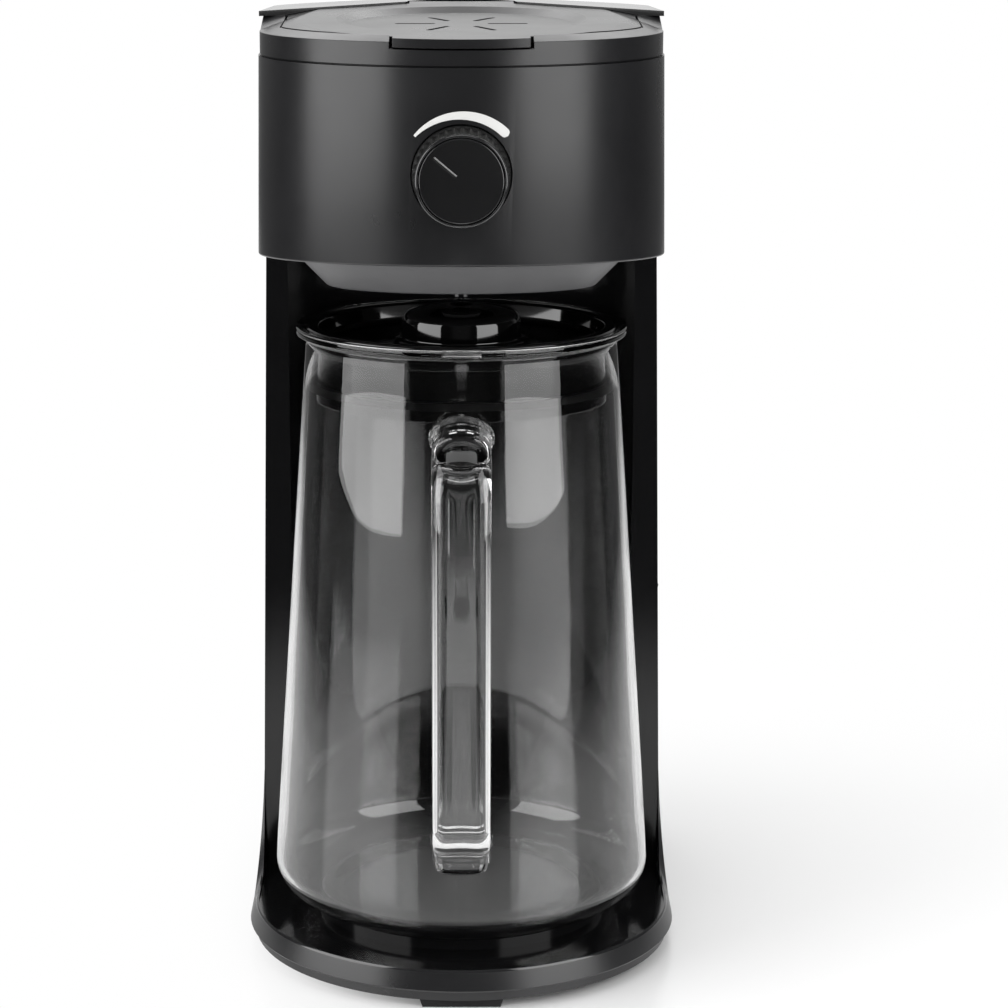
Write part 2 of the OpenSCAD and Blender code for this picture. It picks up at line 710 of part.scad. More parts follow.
module riser_tube() color("#e6e4de") at_jug() difference() {
    riser_run(4);
    riser_run(2.6);
}

module spray_head() color("#4a4b4e") at_jug() difference() {
    translate([0, 0, arm_z - 7]) cylinder(r = 18, h = 13);
    translate([0, 0, arm_z - 5]) cylinder(r = 11, h = 9);
    rotate([0, 0, atan2(heater_y[0], riser_x)]) translate([0, 0, arm_z]) rotate([0, 90, 0])
        cylinder(r = 4 + run_gap, h = 30);
    for (i = [0:9]) rotate(36 * i) translate([8, 0, arm_z - 10]) cylinder(r = 1, h = 8);
}

module terminal_block() color("#e9e7e0") at_jug() translate([20, 66 + bay_r - 82, plate_z]) difference() {
    translate([0, 24, 0]) cube([30, 9, 13]);
    for (i = [0:2]) translate([5 + 10 * i, 28.5, 7]) cylinder(r = 2, h = 10);
}

// Bush for the mains lead
module cord_gland() color("#1a1a1b") at_jug() translate([0, pad_y, gland_z]) rotate([90, 0, 0]) difference() {
    union() {
        translate([0, 0, -gland_t]) cylinder(r = gland_r + 3, h = gland_t);
        cylinder(r = gland_r, h = gland_l);
    }
    translate([0, 0, -5]) cylinder(r = 3.4, h = 30);
}

module gland_nut() color("#2a2a2b") at_jug() translate([0, pad_y - 9, gland_z]) rotate([90, 0, 0])
    difference() {
        cylinder(r = gland_r + 3, h = 4, $fn = 6);
        translate([0, 0, -1]) cylinder(r = gland_r + run_gap, h = 10);
    }

// Frame and box of the power switch
module switch_bezel() color("#1c1c1e") at_jug() on_side() difference() {
    union() {
        translate([-bezel_l / 2, -bezel_w / 2, -15]) cube([bezel_l, bezel_w, 15.5]);
        translate([-bezel_l / 2 - 2.5, -bezel_w / 2 - 2, 0]) cube([bezel_l + 5, bezel_w + 4, 1.4]);
    }
    translate([-rocker_r - 0.2, -rocker_w / 2 - 0.2, -13.5]) cube([2 * rocker_r + 0.4, rocker_w + 0.4, 30]);
    translate([0, -bezel_w, -rocker_depth]) rotate([-90, 0, 0]) cylinder(r = 1.2 + run_gap, h = 2 * bezel_w);
}

module power_rocker() color("#101011") at_jug() on_side() translate([0, 0, -rocker_depth])
    rotate([0, rocker_a, 0]) {
        rotate([90, 0, 0]) translate([0, 0, -rocker_w / 2]) linear_extrude(rocker_w) intersection() {
            circle(r = rocker_r);
            polygon([[-12, -4], [12, -4], [12, 6], [0, 4.8], [-12, 6]]);
        }
        translate([0, -rocker_w / 2 - 1, 0]) rotate([-90, 0, 0]) cylinder(r = 1.2, h = rocker_w + 2);
    }

// Knob parts, drawn outwards from the head's front
module knob_bush() color("#8a8c8f") at_jug() on_knob() difference() {
    union() {
        translate([0, 0, -5]) cylinder(r = shaft_r + 2, h = 5 - well_d);
        translate([0, 0, -6]) cylinder(r = shaft_r + 4, h = 1);
    }
    translate([0, 0, -10]) cylinder(r = shaft_r + run_gap, h = 20);
}

module valve_body() color("#dcdad3") at_jug() on_knob() translate([0, 0, -11]) difference() {
    cylinder(r = 11.5, h = 6);
    translate([0, 0, 1.6]) cylinder(r = 9.6, h = 6);
    translate([0, 5, -1]) cylinder(r = 1.6, h = 6);
}

// Tapered grip with a groove between each two teeth
module strength_knob() color("#1d1d1f") at_jug() on_knob() difference() {
    low = pass_gap - well_d;
    lean = atan(knob_taper / (knob_reach - low));
    union() {
        translate([0, 0, low]) cylinder(r = knob_r + 0.6, h = 2);
        translate([0, 0, low]) cylinder(r1 = knob_r, r2 = knob_r - knob_taper, h = knob_reach - low - 0.4);
        translate([0, 0, knob_reach - 0.4])
            cylinder(r1 = knob_r - knob_taper, r2 = knob_r - knob_taper - 0.4, h = 0.4);
    }
    for (i = [0:knob_teeth - 1]) rotate(360 / knob_teeth * i) translate([knob_r + 0.2, 0, low])
        rotate([0, -lean, 0]) translate([0, 0, 2.6]) cylinder(r = 0.8, h = knob_reach - low - 4.4);
    translate([0, 0, -well_d - 1]) difference() {
        cylinder(r = knob_r - 4, h = knob_reach - 4 + well_d);
        cylinder(r = shaft_r + 3, h = 60);
    }
    translate([0, 0, -well_d - 1]) cylinder(r = shaft_r + 0.02, h = 14 + well_d);
    translate([0, 0, knob_reach - 1]) cylinder(r = cap_r + 0.1, h = 5);
}

// Inset face of the knob with its pointer groove
module knob_cap() color("#202022") at_jug() on_knob() translate([0, 0, knob_reach - 1]) difference() {
    cylinder(r = cap_r, h = 0.8);
    rotate(50) translate([-0.6, 2.6, 0.4]) cube([1.2, 10.7, 2]);
}

module knob_shaft() color("#b5b7ba") at_jug() on_knob() translate([0, 0, -9])
    cylinder(r = shaft_r, h = 9 + 13);

module valve_rotor() color("#c8c6bf") at_jug() on_knob() translate([0, 0, -9]) difference() {
    cylinder(r = 9.2, h = 2.6);
    translate([0, 0, -1]) cylinder(r = shaft_r + 0.02, h = 10);
    for (i = [0:4]) rotate(24 * i) translate([0, 6, -1]) cylinder(r = 0.5 + 0.15 * i, h = 10);
}

// Weighted plunger that shuts the outlet when no jug lifts it
module drip_plunger() color("#3c3d40") at_jug() translate([0, 0, nozzle_z]) {
    translate([0, 0, -2.5]) cylinder(r = plunger_r, h = 6);
    translate([0, 0, 2.6]) cylinder(r = nozzle_r - 2.4, h = 3);
}

module drip_seal() color("#b9402f") at_jug() translate([0, 0, nozzle_z + 1.5 + rest_gap]) difference() {
    cylinder(r = nozzle_r - 2.6, h = 1.1 - rest_gap);
    translate([0, 0, -1]) cylinder(r = plunger_r + 0.02, h = 4);
}

// Half section of the jug's outside, drawn smaller by a wall
module jug_section(g, top) {
    r = jug_corner - g;
    cx = jug_r - jug_corner;
    cz = jug_z + jug_corner;
    neck_z = jug_z + jug_h - 10.5;
    tx = cx + r * cos(jug_lean);
    tz = cz + r * sin(jug_lean);
    neck_x = tx - (neck_z - tz) * tan(jug_lean);
    translate([0, jug_z + g]) square([cx, r]);
    intersection() {
        translate([cx, cz]) circle(r = r);
        translate([cx - 1, cz - r - 1]) square([r + 2, r + 1]);
    }
    polygon([[0, cz], [cx + r, cz], [tx, tz], [neck_x, neck_z], [neck_x + 1.8, neck_z + 7.5],
        [neck_x + 1.8, top], [0, top]]);
}

module jug_solid(g, top) rotate_extrude() jug_section(g, top);

// Bent bar of the handle, cut by three outlines so that its edges are round
module handle_bar() {
    top = jug_z + 208.9;
    low = jug_z + 37;
    inner = handle_reach - handle_t;
    intersection() {
        translate([-handle_w / 2, 0, 0]) rotate([90, 0, 90]) linear_extrude(handle_w) difference() {
            handle_loop(handle_reach, low, top, 22);
            handle_loop(inner, low + handle_t, top - handle_t, 12);
        }
        translate([0, -40, 0]) rotate([90, 0, 0]) linear_extrude(120) {
            translate([-handle_w / 2, low + 9]) square([handle_w, top - low - 18]);
            translate([9 - handle_w / 2, low]) square([handle_w - 18, top - low]);
            for (s = [-1, 1]) for (z = [low + 9, top - 9])
                translate([s * (handle_w / 2 - 9), z]) circle(r = 9);
        }
        linear_extrude(400) {
            translate([-handle_w / 2, 4.5 - handle_reach]) square([handle_w, 80]);
            translate([4.5 - handle_w / 2, -handle_reach]) square([handle_w - 9, 80]);
            for (s = [-1, 1]) translate([s * (handle_w / 2 - 4.5), 4.5 - handle_reach]) circle(r = 4.5);
        }
    }
}

// Side outline of a loop that runs back into the jug
module handle_loop(reach, low, top, r) {
    translate([-reach + r, low]) square([reach - r - 45, top - low]);
    translate([-reach, low + r]) square([reach - 45, top - low - 2 * r]);
    for (z = [low + r, top - r]) translate([-reach + r, z]) circle(r = r);
}

// Clear jug with its fused handle
module glass_jug() color("#dfe8ec", 0.4) at_jug() {
    lip_r = 1.35;
    lip_x = rim_x() - lip_r;
    rotate_extrude() translate([lip_x, jug_z + jug_h - lip_r]) circle(r = lip_r);
    difference() {
        union() {
            jug_solid(0, jug_z + jug_h - lip_r);
            handle_bar();
        }
        jug_solid(glass_t, jug_z + jug_h + 5);
        translate([0, 0, jug_z - 1]) cylinder(r = seat_r - 6, h = 1.8);
    }
}

function rim_x() = jug_r - jug_corner * (1 - cos(jug_lean)) + 1.8 + 1.35
    - (jug_h - 10.5 - jug_corner - jug_corner * sin(jug_lean)) * tan(jug_lean);

// Black lid with a deep dish and a domed middle
module jug_lid() color("#0f0f10") at_jug() translate([0, 0, jug_z + jug_h]) difference() {
    neck = rim_x() - 3.15 - glass_t / cos(jug_lean) - run_gap;
    union() {
        rotate_extrude() polygon([[plug_r - 4, -9.5], [neck + 0.24, -9.5], [neck + 1.8, -3], [neck + 1.8, 0],
            [plug_r - 4, 0]]);
        translate([0, 0, -27.5]) cylinder(r = plug_r, h = 25);
    }
    translate([0, 0, -8]) cylinder(r1 = plug_r - 6, r2 = plug_r - 1, h = 10);
    translate([0, 0, -28]) cylinder(r = plug_r - 2, h = 17.5);
    translate([0, 0, -24.5]) difference() {
        cylinder(r = 80, h = 3);
        translate([0, 0, -1]) cylinder(r = plug_r - 0.8, h = 6);
    }
}

module jug_lid_dome() color("#0f0f10") at_jug() translate([0, 0, jug_z + jug_h - 8]) difference() {
    union() {
        cylinder(r = 27, h = 2.4);
        intersection() {
            translate([0, 0, -13]) sphere(r = 29);
            cylinder(r = 40, h = 40);
        }
    }
    translate([0, 0, -40]) cylinder(r = 4, h = 80);
}

module jug_lid_seal() color("#2a2a2b") at_jug() translate([0, 0, jug_z + jug_h - 24.5]) difference() {
    cylinder(r = plug_r + 2.3, h = 3);
    translate([0, 0, -1]) cylinder(r = plug_r - 0.8, h = 6);
}

body_shell();
base_plate();
front_foot();
rear_feet();
base_screws();
jug_seat();
head_shell();
top_collar();
rear_cap();
hinge_pin();
drip_cowl();
basket_sleeve();
brew_basket();
filter_frame();
filter_mesh();
water_tank();
check_valve();
inlet_hose();
heater_block();
heater_element();
heater_saddle();
thermostat();
thermal_fuse();
riser_tube();
spray_head();
terminal_block();
cord_gland();
gland_nut();
switch_bezel();
knob_bush();
valve_body();
lid();
strength_knob();
knob_cap();
knob_shaft();
valve_rotor();
power_rocker();
drip_plunger();
drip_seal();
glass_jug();
jug_lid();
jug_lid_dome();
jug_lid_seal();
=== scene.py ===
"""Looks of an iced tea maker: a dark moulded body with a brewing head over a clear glass jug.

Pieces are drawn in millimetres from the jug's axis, then moved to where the solids stand.
"""
import math

import bmesh
import bpy
from mathutils import Matrix, Vector


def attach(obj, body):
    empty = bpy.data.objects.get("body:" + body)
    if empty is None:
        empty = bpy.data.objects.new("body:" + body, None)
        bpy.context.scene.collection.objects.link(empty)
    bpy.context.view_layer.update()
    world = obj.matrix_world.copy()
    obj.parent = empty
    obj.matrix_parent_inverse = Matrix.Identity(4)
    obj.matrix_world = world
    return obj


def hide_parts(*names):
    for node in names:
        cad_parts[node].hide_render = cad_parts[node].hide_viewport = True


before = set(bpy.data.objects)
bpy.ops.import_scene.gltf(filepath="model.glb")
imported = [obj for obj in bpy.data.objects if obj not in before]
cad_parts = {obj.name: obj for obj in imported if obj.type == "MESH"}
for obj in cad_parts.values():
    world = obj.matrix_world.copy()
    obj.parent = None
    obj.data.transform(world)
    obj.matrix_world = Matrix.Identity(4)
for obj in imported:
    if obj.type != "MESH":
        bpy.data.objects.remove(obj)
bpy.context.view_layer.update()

# Where the jug's axis stands, and the size of a millimetre
JUG_Y = -18.1
MM = 0.001
TO_PLACE = Matrix.Scale(MM, 4) @ Matrix.Translation((0, JUG_Y, 0))

# Jug
JUG_Z = 21.65
JUG_H = 235.9
RIM_Z = JUG_Z + JUG_H
RIM_R = 66.32
JUG_R = 77.0
FOOT_R = 14.0
JUG_WALL = 2.7
LEAN = math.radians(3.75)

# Edge of the base's dish
DISH_R = 84.4

# Knob and head front
KNOB_Z = 324.4
HEAD_CY = 6.0
HEAD_HW = 81.0
HEAD_REAR = 141.3
HEAD_CORNER = 25.3
HEAD_WALL = 2.6
HEAD_DRAFT = 0.015
UNDER_Z = 285.2
SEAM_Z = 363.8
EDGE_Z = SEAM_Z + 9.2
COLLAR_HW = HEAD_HW - HEAD_DRAFT * (EDGE_Z - UNDER_Z) - 0.4


def head_front(x, z):
    """Front-to-back place of the head's round front at a point seen from the front."""
    radius = HEAD_HW - HEAD_DRAFT * (z - UNDER_Z)
    return HEAD_CY - math.sqrt(radius * radius - x * x)


KNOB_AT = Matrix.Translation((0, head_front(0, KNOB_Z), KNOB_Z)) @ Matrix.Rotation(math.radians(90), 4, "X")
UNDER_AT = Matrix.Translation((0, 0, UNDER_Z)) @ Matrix.Rotation(math.radians(-4.0), 4, "X")


def linear(hex_colour):
    """Linear values of an sRGB hex colour."""
    parts = [int(hex_colour[i:i + 2], 16) / 255 for i in (1, 3, 5)]
    return [c / 12.92 if c <= 0.04045 else ((c + 0.055) / 1.055) ** 2.4 for c in parts] + [1.0]


def add(tree, kind, links=None, values=None, **settings):
    """Adds a node with its settings, its input values and the links that reach it.

    A Mix node takes its share at socket 0, and mixes sockets 6 and 7 for colours, 2 and 3 for plain values.
    """
    node = tree.nodes.new(kind)
    for key, value in settings.items():
        setattr(node, key, value)
    for key, value in (values or {}).items():
        node.inputs[key].default_value = value
    for key, output in (links or {}).items():
        tree.links.new(output, node.inputs[key])
    return node


def new_finish(name):
    """An empty material with its node tree."""
    finish = bpy.data.materials.new(name)
    finish.use_nodes = True
    finish.node_tree.nodes.clear()
    return finish, finish.node_tree


def moulded(name, dark, light, rough, grit, depth, ior=1.53, cloud=45.0):
    """Moulded plastic: a cloudy tone and gloss, and the grit of its mould. Sizes are in millimetres."""
    finish, tree = new_finish(name)
    place = add(tree, "ShaderNodeTexCoord")
    clouds = add(tree, "ShaderNodeTexNoise", {"Vector": place.outputs["Object"]},
                 {"Scale": 1 / (cloud * MM), "Detail": 4.0, "Roughness": 0.6})
    grain = add(tree, "ShaderNodeTexNoise", {"Vector": place.outputs["Object"]},
                {"Scale": 1 / (grit * MM), "Detail": 2.0, "Roughness": 0.5})
    tone = add(tree, "ShaderNodeMix", {0: clouds.outputs["Fac"]}, {6: linear(dark), 7: linear(light)},
               data_type="RGBA")
    gloss = add(tree, "ShaderNodeMapRange", {"Value": clouds.outputs["Fac"]},
                {"From Min": 0.3, "From Max": 0.7, "To Min": rough * 0.88, "To Max": rough * 1.12})
    relief = add(tree, "ShaderNodeBump", {"Height": grain.outputs["Fac"]},
                 {"Strength": 1.0, "Distance": depth * MM})
    surface = add(tree, "ShaderNodeBsdfPrincipled",
                  {"Base Color": tone.outputs[2], "Roughness": gloss.outputs["Result"],
                   "Normal": relief.outputs["Normal"]},
                  {"IOR": ior})
    add(tree, "ShaderNodeOutputMaterial", {"Surface": surface.outputs["BSDF"]})
    return finish


def metal(name, dark, light, rough, line):
    """Drawn or die-cast metal: a tone and gloss that change along faint lines. Sizes are in millimetres."""
    finish, tree = new_finish(name)
    place = add(tree, "ShaderNodeTexCoord")
    lay = add(tree, "ShaderNodeMapping", {"Vector": place.outputs["Object"]}, {"Scale": (1.0, 0.12, 1.0)})
    lines = add(tree, "ShaderNodeTexNoise", {"Vector": lay.outputs["Vector"]},
                {"Scale": 1 / (line * MM), "Detail": 3.0})
    tone = add(tree, "ShaderNodeMix", {0: lines.outputs["Fac"]}, {6: linear(dark), 7: linear(light)},
               data_type="RGBA")
    gloss = add(tree, "ShaderNodeMapRange", {"Value": lines.outputs["Fac"]},
                {"To Min": rough * 0.8, "To Max": rough * 1.2})
    relief = add(tree, "ShaderNodeBump", {"Height": lines.outputs["Fac"]}, {"Distance": 0.02 * MM})
    surface = add(tree, "ShaderNodeBsdfPrincipled",
                  {"Base Color": tone.outputs[2], "Roughness": gloss.outputs["Result"],
                   "Normal": relief.outputs["Normal"]},
                  {"Metallic": 1.0})
    add(tree, "ShaderNodeOutputMaterial", {"Surface": surface.outputs["BSDF"]})
    return finish


def blown_glass(name):
    """Borosilicate glass, blown in a mould: clear and smooth, with slow waves that bend what it mirrors."""
    finish, tree = new_finish(name)
    place = add(tree, "ShaderNodeTexCoord")
    waves = add(tree, "ShaderNodeTexNoise", {"Vector": place.outputs["Object"]},
                {"Scale": 1 / (38 * MM), "Detail": 1.0})
    relief = add(tree, "ShaderNodeBump", {"Height": waves.outputs["Fac"]},
                 {"Strength": 1.0, "Distance": 0.15 * MM})
    surface = add(tree, "ShaderNodeBsdfPrincipled", {"Normal": relief.outputs["Normal"]},
                  {"Base Color": linear("#fafafa"), "Roughness": 0.0, "IOR": 1.56,
                   "Transmission Weight": 1.0})
    add(tree, "ShaderNodeOutputMaterial", {"Surface": surface.outputs["BSDF"]})
    return finish


# ABS with a spark-eroded satin face. Its 0.1 mm grit is drawn at 0.6 mm so that it shows.
satin_abs = moulded("satin_abs", "#181819", "#1e1e20", 0.30, 0.6, 0.012, 1.62)
# ABS from a polished mould: deep black that mirrors the lamps, with long faint ripples.
gloss_abs = moulded("gloss_abs", "#0f0f10", "#141415", 0.12, 14.0, 0.02)
# Jug lid from a hard-polished mould: black, and sharp in what it mirrors.
polished_abs = moulded("polished_abs", "#040404", "#070708", 0.06, 16.0, 0.01, 1.8)
# Rear cap from a bright mould: its flat top mirrors the backdrop.
bright_abs = moulded("bright_abs", "#0f0f10", "#141415", 0.16, 20.0, 0.001, 1.6)
# ABS knob, satin and darker than the head.
knob_abs = moulded("knob_abs", "#101011", "#161617", 0.30, 0.6, 0.008)
# Toothed grip of the knob, eroded coarser and duller.
grip_abs = moulded("grip_abs", "#080808", "#0c0c0c", 0.5, 0.6, 0.012, 1.38)
# Edges of the knob and the dish: a glossier finish, with a lighter tone painted on as a highlight line.
edge_highlight_abs = moulded("edge_highlight_abs", "#1c1c1d", "#242425", 0.10, 3.0, 0.004, 1.8)
# Wall of the pointer: a pale grey painted on along one edge of the notch as a highlight.
pointer_highlight_abs = moulded("pointer_highlight_abs", "#8a8a8a", "#9c9c9c", 0.35, 0.6, 0.006)
# Unpainted polypropylene: mid grey, soft gloss.
grey_pp = moulded("grey_polypropylene", "#555556", "#636364", 0.45, 0.8, 0.015, 1.49)
# Natural polypropylene of hidden water parts: milky and waxy.
milky_pp = moulded("milky_polypropylene", "#c4c6c2", "#d2d3cf", 0.42, 1.2, 0.02, 1.49)
# Silicone hose and seal: warm white, dull.
silicone = moulded("silicone", "#d8d8d2", "#e4e3dd", 0.55, 0.9, 0.02, 1.41)
red_silicone = moulded("red_silicone", "#a63a2b", "#b84534", 0.55, 0.9, 0.02, 1.41)
# Seal of the jug lid: black silicone, wet-looking against the glass.
black_silicone = moulded("black_silicone", "#050505", "#080808", 0.35, 0.9, 0.01, 1.41)
# Rubber feet and pad: black, dull, with a coarse grain.
rubber = moulded("black_rubber", "#121213", "#1a1a1b", 0.68, 0.9, 0.05, 1.52)
# Ceramic and phenolic electrical parts.
ceramic = moulded("steatite", "#e2e0d8", "#ebe9e2", 0.35, 0.5, 0.01, 1.6)
# Screen-printed ink: flat white with a faint mesh of the screen.
white_ink = moulded("white_ink", "#dededc", "#e4e4e2", 0.5, 0.5, 0.006, 1.5)
steel = metal("drawn_steel", "#a4a6a9", "#b9bbbe", 0.28, 0.6)
cast_aluminium = metal("cast_aluminium", "#a9abae", "#babcbf", 0.45, 1.8)
woven_steel = metal("woven_steel", "#9c9e9c", "#b4b6b3", 0.40, 0.8)
glass = blown_glass("borosilicate_glass")

FINISHES = {
    "body_shell": satin_abs, "base_plate": satin_abs, "front_foot": rubber, "rear_feet": rubber,
    "base_screws": steel, "jug_seat": rubber, "head_shell": satin_abs, "top_collar": satin_abs,
    "rear_cap": bright_abs, "hinge_pin": steel,
    "drip_cowl": grey_pp, "basket_sleeve": grey_pp, "brew_basket": grey_pp, "filter_frame": milky_pp,
    "filter_mesh": woven_steel, "water_tank": milky_pp, "check_valve": milky_pp, "inlet_hose": silicone,
    "heater_block": cast_aluminium, "heater_element": steel, "heater_saddle": steel, "thermostat": ceramic,
    "thermal_fuse": steel, "riser_tube": silicone, "spray_head": grey_pp, "terminal_block": ceramic,
    "cord_gland": rubber, "gland_nut": knob_abs, "switch_bezel": knob_abs, "knob_bush": steel,
    "valve_body": milky_pp, "lid": satin_abs, "strength_knob": knob_abs, "knob_cap": knob_abs,
    "knob_shaft": steel, "valve_rotor": milky_pp,
    "power_rocker": gloss_abs, "drip_plunger": gloss_abs, "drip_seal": red_silicone, "glass_jug": glass,
    "jug_lid": polished_abs, "jug_lid_dome": polished_abs, "jug_lid_seal": black_silicone,
}
for node, finish in FINISHES.items():
    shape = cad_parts[node]
    shape.data.materials.clear()
    shape.data.materials.append(finish)


def make_piece(bm, name, body, finishes, nodes=(), crease=32, move=TO_PLACE):
    """Turns a finished bmesh into a piece that rides on a body and stands for CAD nodes."""
    if move is not None:
        bmesh.ops.transform(bm, matrix=move, verts=bm.verts)
    mesh = bpy.data.meshes.new(name)
    bm.to_mesh(mesh)
    bm.free()
    mesh.shade_smooth()
    mesh.set_sharp_from_angle(angle=math.radians(crease))
    for finish in finishes:
        mesh.materials.append(finish)
    made = bpy.data.objects.new(name, mesh)
    bpy.context.scene.collection.objects.link(made)
    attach(made, body)
    if nodes:
        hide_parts(*nodes)
    return made


def outline(bm, points):
    """A chain of edges through (radius, height, rounding) points, with its corners rounded."""
    corners = [bm.verts.new((p[0], 0, p[1])) for p in points]
    for pair in zip(corners, corners[1:]):
        bm.edges.new(pair)
    for corner, point in zip(corners, points):
        if point[2] > 0:
            bmesh.ops.bevel(bm, geom=[corner], offset=point[2], offset_type="OFFSET", affect="VERTICES",
                            segments=6, profile=0.5, material=-1)


def turn(bm, steps=128):
    """Turns the chain in a bmesh round the upright axis into a closed skin."""
    bmesh.ops.spin(bm, geom=bm.verts[:] + bm.edges[:], cent=(0, 0, 0), axis=(0, 0, 1), angle=math.tau,
                   steps=steps, use_merge=True)
    bmesh.ops.remove_doubles(bm, verts=bm.verts, dist=1e-4)
    bmesh.ops.recalc_face_normals(bm, faces=bm.faces)


def flat_faced(piece):
    """Keeps broad faces flat in their shading, so that only the rounded edges turn the light."""
    even = piece.modifiers.new("flat_faces", "WEIGHTED_NORMAL")
    even.keep_sharp = True


def softened(node, radius, limit=25):
    """A copy of a node's shape, merged, with its sharp edges rounded."""
    bm = bmesh.new()
    bm.from_mesh(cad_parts[node].data)
    bmesh.ops.remove_doubles(bm, verts=bm.verts, dist=2e-6)
    bmesh.ops.dissolve_limit(bm, angle_limit=math.radians(0.4), verts=bm.verts, edges=bm.edges)
    sharp = [e for e in bm.edges if len(e.link_faces) == 2 and e.calc_face_angle() > math.radians(limit)]
    bmesh.ops.bevel(bm, geom=sharp, offset=radius * MM, offset_type="OFFSET", affect="EDGES", segments=2,
                    profile=0.5, material=-1, clamp_overlap=True)
    return bm


# Glass jug: outside and inside in one turned skin, with the handle fused on.
def jug_skin():
    bm = bmesh.new()
    cx, cz = JUG_R - FOOT_R, JUG_Z + FOOT_R
    inside = FOOT_R - JUG_WALL
    chain = [bm.verts.new((0, 0, JUG_Z + 0.8))]

    def run(*points):
        for x, z in points:
            chain.append(bm.verts.new((x, 0, z)))
            bm.edges.new(chain[-2:])

    def arc(x, z, r, start, end, steps):
        for i in range(steps + 1):
            a = math.radians(start + (end - start) * i / steps)
            run((x + r * math.cos(a), z + r * math.sin(a)))

    def side(r, z):
        base = cx + r * math.cos(LEAN)
        return base - (z - cz - r * math.sin(LEAN)) * math.tan(LEAN)

    neck_z = RIM_Z - 5.2
    run((40, JUG_Z + 0.8), (51, JUG_Z + 0.7), (53, JUG_Z + 0.1), (55, JUG_Z), (59, JUG_Z))
    arc(cx, cz, FOOT_R, -90, math.degrees(LEAN), 14)
    for i in range(1, 13):
        z = cz + 5 + (neck_z - 2 - cz - 5) * i / 12
        run((side(FOOT_R, z), z))
    neck_r = side(FOOT_R, neck_z)
    run((neck_r, neck_z), (neck_r + 0.2, neck_z + 0.8), (neck_r + 0.7, neck_z + 1.4),
        (neck_r + 1.5, neck_z + 1.7))
    arc(RIM_R - 0.75, RIM_Z - 2.75, 0.65, -80, 60, 7)
    run((RIM_R - 0.5, RIM_Z - 2.0), (RIM_R - 0.5, RIM_Z - 1.35))
    arc(RIM_R - 0.7, RIM_Z - 0.7, 0.7, -25, 110, 8)
    bore_r = side(inside, neck_z)
    run((bore_r + 2.6, RIM_Z - 0.7), (bore_r + 2.3, RIM_Z - 1.6), (bore_r + 1.4, RIM_Z - 2.7),
        (bore_r + 0.6, RIM_Z - 3.6), (bore_r + 0.12, RIM_Z - 4.5), (bore_r, neck_z))
    for i in range(1, 13):
        z = neck_z - 2 + (cz + 5 - neck_z + 2) * i / 12
        run((side(inside, z), z))
    arc(cx, cz, inside, math.degrees(LEAN), -90, 14)
    run((56, JUG_Z + 2.4), (45, JUG_Z + 2.1), (25, JUG_Z + 2.0), (0, JUG_Z + 2.0))
    turn(bm, 144)
    return bm


